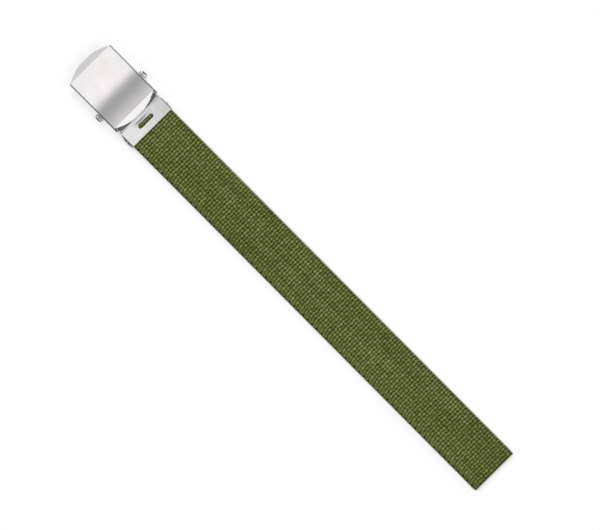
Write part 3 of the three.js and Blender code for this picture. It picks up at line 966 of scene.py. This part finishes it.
    def _dent(self, x: float) -> Solid:
        """The tool for the shallow dent beside the window: a bar with round ends."""
        radius = (self.dent_width**2 / 4 + self.dent_depth**2) / (2 * self.dent_depth)
        end = []
        for share in np.linspace(1, 0, self.dent_steps + 1).tolist():
            y = (self.dent_length - self.dent_width * share) / 2
            end.append((y, radius - self.dent_depth * (1 - share) ** 2, 0.0, 0))
        return Solid.turned((x, self.top + radius - self.dent_depth), self.dent_sides, end)

    def mesh(self) -> bpy.types.Mesh:
        """Presses, trims and pierces the clamp."""
        shell = self.pressed(self.half, [(x, self.height_at(x)) for x in [*self._neck_places(), self.mouth]])
        through = self.half + self.clear
        ceiling = self.top + self.clear
        body = shell & Solid.upwards(self._outline(), 0, ceiling)
        body = (body & Solid.across(self._side_outline(), through)) + self._ears()
        window_x = self.mouth - self.window_to_mouth
        reach = (self.window_length - self.window_width) / 2
        window = slot_outline((window_x, -reach), (window_x, reach), self.window_width)
        body = body - Solid.upwards(window, 0, ceiling) - self._dent(window_x - self.dent_to_window)
        stud_hole = self.stud_diameter / 2 + self.side_gap
        body = body - Solid.rod(self.cover.pin, self.cover.hole_radius, through)
        return (body - Solid.rod(self.stud, stud_hole, through)).eased(self.edge)


@dataclass
class Jaw(Part):
    """The toothed plate that closes on the strap from below, with a stud at each side."""

    name = "toothed_jaw"
    node = "clamp_jaw"

    clamp: Clamp
    side_gap: float = 0.95
    mouth_gap: float = 0.6
    length: float = 6.8
    teeth: int = 9
    tooth_depth: float = 0.8
    stud_proud: float = 0.9
    stud_sides: int = 32
    edge: float = 0.07
    finish: PlatedSteel = PlatedSteel(
        "plain_plate", "jaw_metal", (0.78, 0.775, 0.77), 0.28, Grain.BRUSHED_ACROSS
    )

    def mesh(self) -> bpy.types.Mesh:
        """Punches the jaw and joins its studs."""
        clamp = self.clamp
        half = clamp.web_half + clamp.side_gap - self.side_gap
        front = clamp.mouth - self.mouth_gap
        pitch = 2 * half / self.teeth
        root = front - self.tooth_depth
        outline = [(front - self.length, half), (front - self.length, -half)]
        for i in range(self.teeth):
            outline += [(root, i * pitch - half), (front, (i + 0.5) * pitch - half)]
        outline.append((root, half))
        plate = Solid.upwards(outline, clamp.jaw_top - clamp.jaw_sheet, clamp.jaw_top)
        reach = clamp.half + self.stud_proud
        studs = Solid.rod(clamp.stud, clamp.stud_diameter / 2, reach, self.stud_sides)
        return (plate + studs).eased(self.edge)


@dataclass
class WovenWeb(Part):
    """The strap: coarse plain web whose ribs lie across it, with a selvedge along each edge."""

    name = "woven_strap"
    node = "web_strap"
    smooth_deg = 75.0
    flats = False

    clamp: Clamp
    free_length: float = 292.7
    end_gap: float = 0.5
    drop_length: float = 26.0
    pick_pitch: float = 2.006
    samples_per_pick: int = 4
    lower_selvedge: float = 2.5
    upper_selvedge: float = 1.4
    warp_rows: int = 12
    samples_per_row: int = 5
    edge_round: float = 0.5
    thinnest: float = 0.12
    relief_depth: float = 0.50
    row_sway: float = 0.075
    notch_depth: float = 0.18
    # How far each edge bulges, and how lumpy it is.
    lower_edge: Point = (0.17, 0.07)
    upper_edge: Point = (-0.10, 0.03)
    plain_weave: float = 0.085
    slow_drift: float = 0.25
    quick_drift: float = 0.08
    row_drift: float = 0.10
    row_zigzag: float = 0.10
    lumpiness: float = 0.13
    finish: OliveCanvas = field(default_factory=OliveCanvas)

    def __post_init__(self) -> None:
        """Works out where the tucked end lies and the strap's whole length."""
        self.start = self.clamp.shoulder + self.end_gap
        self.length = self.clamp.mouth + self.free_length - self.start

    def _middle(self, x: np.ndarray) -> np.ndarray:
        """Height of the strap's middle: level in the clamp, then a smooth fall to the surface."""
        mouth = self.clamp.mouth
        rest = self.clamp.web_thickness / 2
        share = smooth_step(x, mouth, mouth + self.drop_length)
        return self.clamp.web_middle + (rest - self.clamp.web_middle) * share

    def _across(self) -> np.ndarray:
        """Places across the strap, closer together at the rounded edges."""
        half = self.clamp.web_half
        low = -half + self.lower_selvedge
        high = half - self.upper_selvedge
        rows = np.linspace(low, high, self.warp_rows * self.samples_per_row + 1)
        lower = [*(0.03, 0.15, 0.4), *np.linspace(0.8, self.lower_selvedge, 5)[:-1]]
        upper = (1.0, 0.65, 0.4, 0.15, 0.03)
        return np.concatenate([np.array(lower) - half, rows, half - np.array(upper)])

    @staticmethod
    def _warp_noise(rng: np.random.Generator, shape: Counts, coarse: Counts) -> np.ndarray:
        """Smooth values from -1 to 1 in that shape, drawn between a coarse grid of random ones."""
        grid = rng.uniform(-1, 1, coarse)
        along, across = (np.linspace(0, most - 1, count) for most, count in zip(coarse, shape))
        i = np.minimum(along.astype(int), coarse[0] - 2)
        j = np.minimum(across.astype(int), coarse[1] - 2)
        s = smooth_step((along - i)[:, None], 0, 1)
        t = smooth_step((across - j)[None, :], 0, 1)
        first, second = (grid[k][:, j] * (1 - t) + grid[k][:, j + 1] * t for k in (i, i + 1))
        return first * (1 - s) + second * s

    def _weave(self, pick: np.ndarray, row: np.ndarray, woven: np.ndarray, lumps: np.ndarray) -> np.ndarray:
        """How high the yarn stands.

        Args:
            pick: place along the strap in picks.
            row: place across it in warp rows.
            woven: 1 in the body and 0 in the lower selvedge.
            lumps: uneven yarn, about -1 to 1.

        Returns:
            The height's share of the relief, from 0 in a pit to about 1 on a crown.
        """
        rib = np.abs(np.cos(np.pi * pick)) ** 0.9
        crown = np.abs(np.sin(np.pi * row)) ** 0.8
        body = rib * (0.72 + 0.28 * crown) + (1 - rib) * 0.46 * crown
        body = body * (1 + self.plain_weave * np.cos(np.pi * pick) * (0.5 + np.sin(np.pi * row)))
        strand = 0.5 + 0.5 * np.sin(2 * np.pi * (pick + 0.3 * row))
        edge = 0.53 + 0.34 * strand
        return np.clip((body * woven + edge * (1 - woven)) * (1 + self.lumpiness * lumps), 0, 1.05)

    def _face(self, side: int, rng: np.random.Generator) -> dict[str, np.ndarray]:
        """One face of the strap.

        Args:
            side: 1 for the top and -1 for the underside.
            rng: the seeded source of its unevenness.

        Returns:
            Its places and what the finish reads there, each an array along and across.
        """
        half = self.clamp.web_half
        picks = round(self.length / self.pick_pitch)
        across = self._across()
        shape = (picks * self.samples_per_pick + 1, len(across))
        pick = np.linspace(0, picks, shape[0])[:, None] * np.ones(shape)
        y = np.ones(shape) * across
        low = -half + self.lower_selvedge
        pitch = (2 * half - self.lower_selvedge - self.upper_selvedge) / self.warp_rows
        row = (y - low) / pitch
        woven = np.clip((y - low) / 0.4, 0, 1) * np.clip((half + 0.1 - y) / 0.4, 0, 1)
        inside = np.clip((half - np.abs(y)) / 1.2, 0, 1)
        lumps = self._warp_noise(rng, shape, (2 * picks, 30))
        wobble = self._warp_noise(rng, shape, (14, 2))[:, :1] * self.slow_drift
        wobble = wobble + self._warp_noise(rng, shape, (picks, 7)) * self.quick_drift
        wobble = wobble + self.row_zigzag * np.sin(np.pi * row) * woven
        drift = self._warp_noise(rng, shape, (picks // 3, 12)) * self.row_drift
        relief = self._weave(pick, row, woven, lumps)
        to_end = picks - pick
        ends = np.clip(np.minimum(pick, to_end) / 1.5, 0, 1)
        x = self.start + (pick + wobble * ends) * self.length / picks
        y = y + (self.row_sway * np.cos(np.pi * pick) + drift) * pitch * inside
        # The edges bulge, and the lower one is notched between its picks.
        notch = np.clip(np.cos(np.pi * pick) - 0.35, 0, 1) / 0.65 * (across < 0)
        edge = np.clip(np.abs(across) - half + 1, 0, 1)
        bulge, lumpy = np.where(across[:, None] < 0, self.lower_edge, self.upper_edge).T
        y = y + np.sign(across) * edge * (bulge - self.notch_depth * notch + lumpy * lumps)
        drop = np.clip((np.abs(across) - half + self.edge_round) / self.edge_round, 0, 1)
        round_down = self.edge_round * (1 - np.sqrt(1 - drop**2))
        thick = self.clamp.web_thickness / 2 - self.relief_depth * np.clip(1 - relief, 0, 1) - round_down
        z = self._middle(x) + side * np.maximum(thick, self.thinnest)
        # Painted shade: the relief that colours the cloth is lowered along the lower (-Y) edge and in its
        # notches, the side away from the light.
        rim = np.clip((1.3 - half - across) / 0.7, 0, 1)
        relief_with_edge_shade = np.clip(relief - rim * (1.1 * notch + 0.08), 0, 1)
        cut = np.clip(1 - to_end / 0.7, 0, 1) + 0.25 * np.clip(1 - to_end / 24, 0, 1)
        return {"x": x, "y": y, "z": z, "pick": pick, "row": row, "relief": relief_with_edge_shade, "cut": cut}

    def mesh(self) -> bpy.types.Mesh:
        """Weaves the strap as one closed mesh, which carries what its finish reads."""
        rng = np.random.default_rng(SEED)
        top, under = self._face(1, rng), self._face(-1, rng)
        along, wide = top["x"].shape
        ring = 2 * wide
        layers = {key: np.concatenate([top[key], under[key][:, ::-1]], 1) for key in top}
        start = np.arange(along - 1)[:, None] * ring
        a = start + np.arange(ring)
        b = start + (np.arange(ring) + 1) % ring
        quads = np.stack([a, a + ring, b + ring, b], 2).reshape(-1, 4)
        ladder = np.arange(wide - 1)
        rungs = np.stack([ladder, ladder + 1, ring - 2 - ladder, ring - 1 - ladder], 1)
        quads = np.concatenate([quads, rungs, rungs[:, ::-1] + (along - 1) * ring])
        places = np.stack([layers[axis].ravel() for axis in "xyz"], 1)
        mesh = bpy.data.meshes.new(self.name)
        mesh.from_pydata(places.tolist(), [], quads.tolist())
        for name in ("pick", "row", "relief", "cut"):
            carried = mesh.attributes.new(name, "FLOAT", "POINT")
            carried.data.foreach_set("value", layers[name].ravel().astype(np.float32))
        return mesh

    def build(self, lip_tip: float) -> bpy.types.Object:
        """Makes the strap as any part."""
        obj = super().build(lip_tip)
        return obj


@dataclass(frozen=True)
class SoftBox:
    """A soft light panel that faces the belt and that the camera doesn't see."""

    name: str
    power: float
    place: Triple
    size: float = 0.7

    def hang(self) -> None:
        """Hangs the panel, turned towards the middle of the belt."""
        data = bpy.data.lights.new(self.name, "AREA")
        data.energy = self.power
        data.size = self.size
        light = placed(self.name, data)
        light.location = self.place
        light.rotation_euler = Vector(self.place).to_track_quat("Z", "Y").to_euler()
        light.visible_camera = False


@dataclass
class Studio:
    """The camera far above the belt, a pale floor and soft light."""

    lens: float = 400.0
    sensor: float = 36.0
    view_width: float = 0.362
    focus_height: float = 0.002
    camera_x: float = 0.00406
    camera_y: float = 0.0048
    camera_turn_deg: float = 45.17
    floor_size: float = 8.0
    soft_boxes: tuple[SoftBox, ...] = (
        SoftBox("back_left_box", 17.0, (-1.30, 0.80, 1.60)),
        SoftBox("back_right_box", 10.0, (0.95, 0.75, 1.50)),
        SoftBox("front_left_box", 9.0, (-1.20, -0.85, 1.00)),
        SoftBox("front_right_box", 7.0, (0.95, -0.95, 1.10)),
    )
    finish: PaleFloor = field(default_factory=PaleFloor)

    def camera(self) -> None:
        """Sets up the camera over the belt."""
        data = bpy.data.cameras.new("overhead_camera")
        data.lens = self.lens
        data.sensor_width = self.sensor
        data.clip_start = 0.01
        data.clip_end = 50
        camera = placed("overhead_camera", data)
        height = self.focus_height + self.view_width * self.lens / self.sensor
        camera.location = (self.camera_x, self.camera_y, height)
        camera.rotation_euler = (0, 0, math.radians(self.camera_turn_deg))
        bpy.context.scene.camera = camera

    def floor(self) -> None:
        """Lays the floor that the belt lies on."""
        half = self.floor_size / 2
        square = [(-half, -half, 0), (half, -half, 0), (half, half, 0), (-half, half, 0)]
        mesh = bpy.data.meshes.new("studio_floor")
        mesh.from_pydata(square, [], [(0, 1, 2, 3)])
        mesh.materials.append(self.finish.material())
        placed("studio_floor", mesh)

    def sky(self) -> None:
        """Surrounds the set with soft panels: bright to the belt's ends, dim above and to its sides."""
        # How bright the panels are, by their angle in degrees from straight up towards the strap's end.
        panels = [
            (-90, 0.12), (-72, 0.30), (-56, 0.58), (-43, 0.67), (-30, 0.84), (-18, 0.96), (-9, 1.0),
            (-5, 1.05), (-3.2, 1.10), (-1.7, 1.10), (-0.7, 0.98), (0.1, 0.67), (1.0, 0.41), (2.2, 0.325),
            (4.6, 0.33), (7.0, 0.40), (10, 0.51), (13, 0.65), (17, 0.79), (22, 1.04), (28, 1.12),
            (39, 1.02), (54, 0.78), (70, 0.30), (90, 0.12),
        ]
        # What is left of them, by the angle from straight up towards +Y.
        sides = [
            (-90, 0.55), (-66, 0.42), (-50, 0.06), (-30, 0.06), (-6, 1.0), (7, 1.0), (32, 0.18), (46, 0.22),
            (60, 0.52), (90, 0.65),
        ]
        world = bpy.data.worlds.new("soft_panels")
        world.use_nodes = True
        bpy.context.scene.world = world
        nodes = Palette(world.node_tree)
        peak = max(level for _, level in panels)
        glows = []
        direction = nodes.parts(nodes.node("ShaderNodeTexCoord").outputs["Generated"])
        for part, table, top in zip(direction, (panels, sides), (peak, 1.0)):
            places = [0.5 + 0.5 * math.sin(math.radians(angle)) for angle, _ in table]
            levels = [dimmed(WHITE, level / top) for _, level in table]
            glows.append(nodes.ramp(part * 0.5 + 0.5, list(zip(places, levels))))
        seen = nodes.shade("ShaderNodeLightPath", "Is Camera Ray")
        colour = nodes.mixed(seen, nodes.product(*glows), WHITE)
        background = nodes.node("ShaderNodeBackground", {}, {"Color": colour, "Strength": peak})
        nodes.node("ShaderNodeOutputWorld", {}, {"Surface": background.outputs[0]})

    def build(self) -> None:
        """Sets up the whole studio."""
        self.camera()
        self.floor()
        for soft_box in self.soft_boxes:
            soft_box.hang()
        self.sky()
        bpy.context.scene.view_settings.view_transform = "Standard"
        log.info("studio: camera, floor, %d soft boxes and panels", len(self.soft_boxes))


def main() -> None:
    """Builds the belt piece by piece around the frame."""
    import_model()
    Studio().build()
    lip_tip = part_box("buckle_cover")[0].x
    cover = Cover()
    clamp = Clamp(cover)
    for part in (cover, Roller(cover), HingePin(cover), clamp, Jaw(clamp), WovenWeb(clamp)):
        part.build(lip_tip)


if __name__ == "__main__":
    logging.basicConfig(level=logging.INFO, format="%(name)s: %(message)s")
    main()
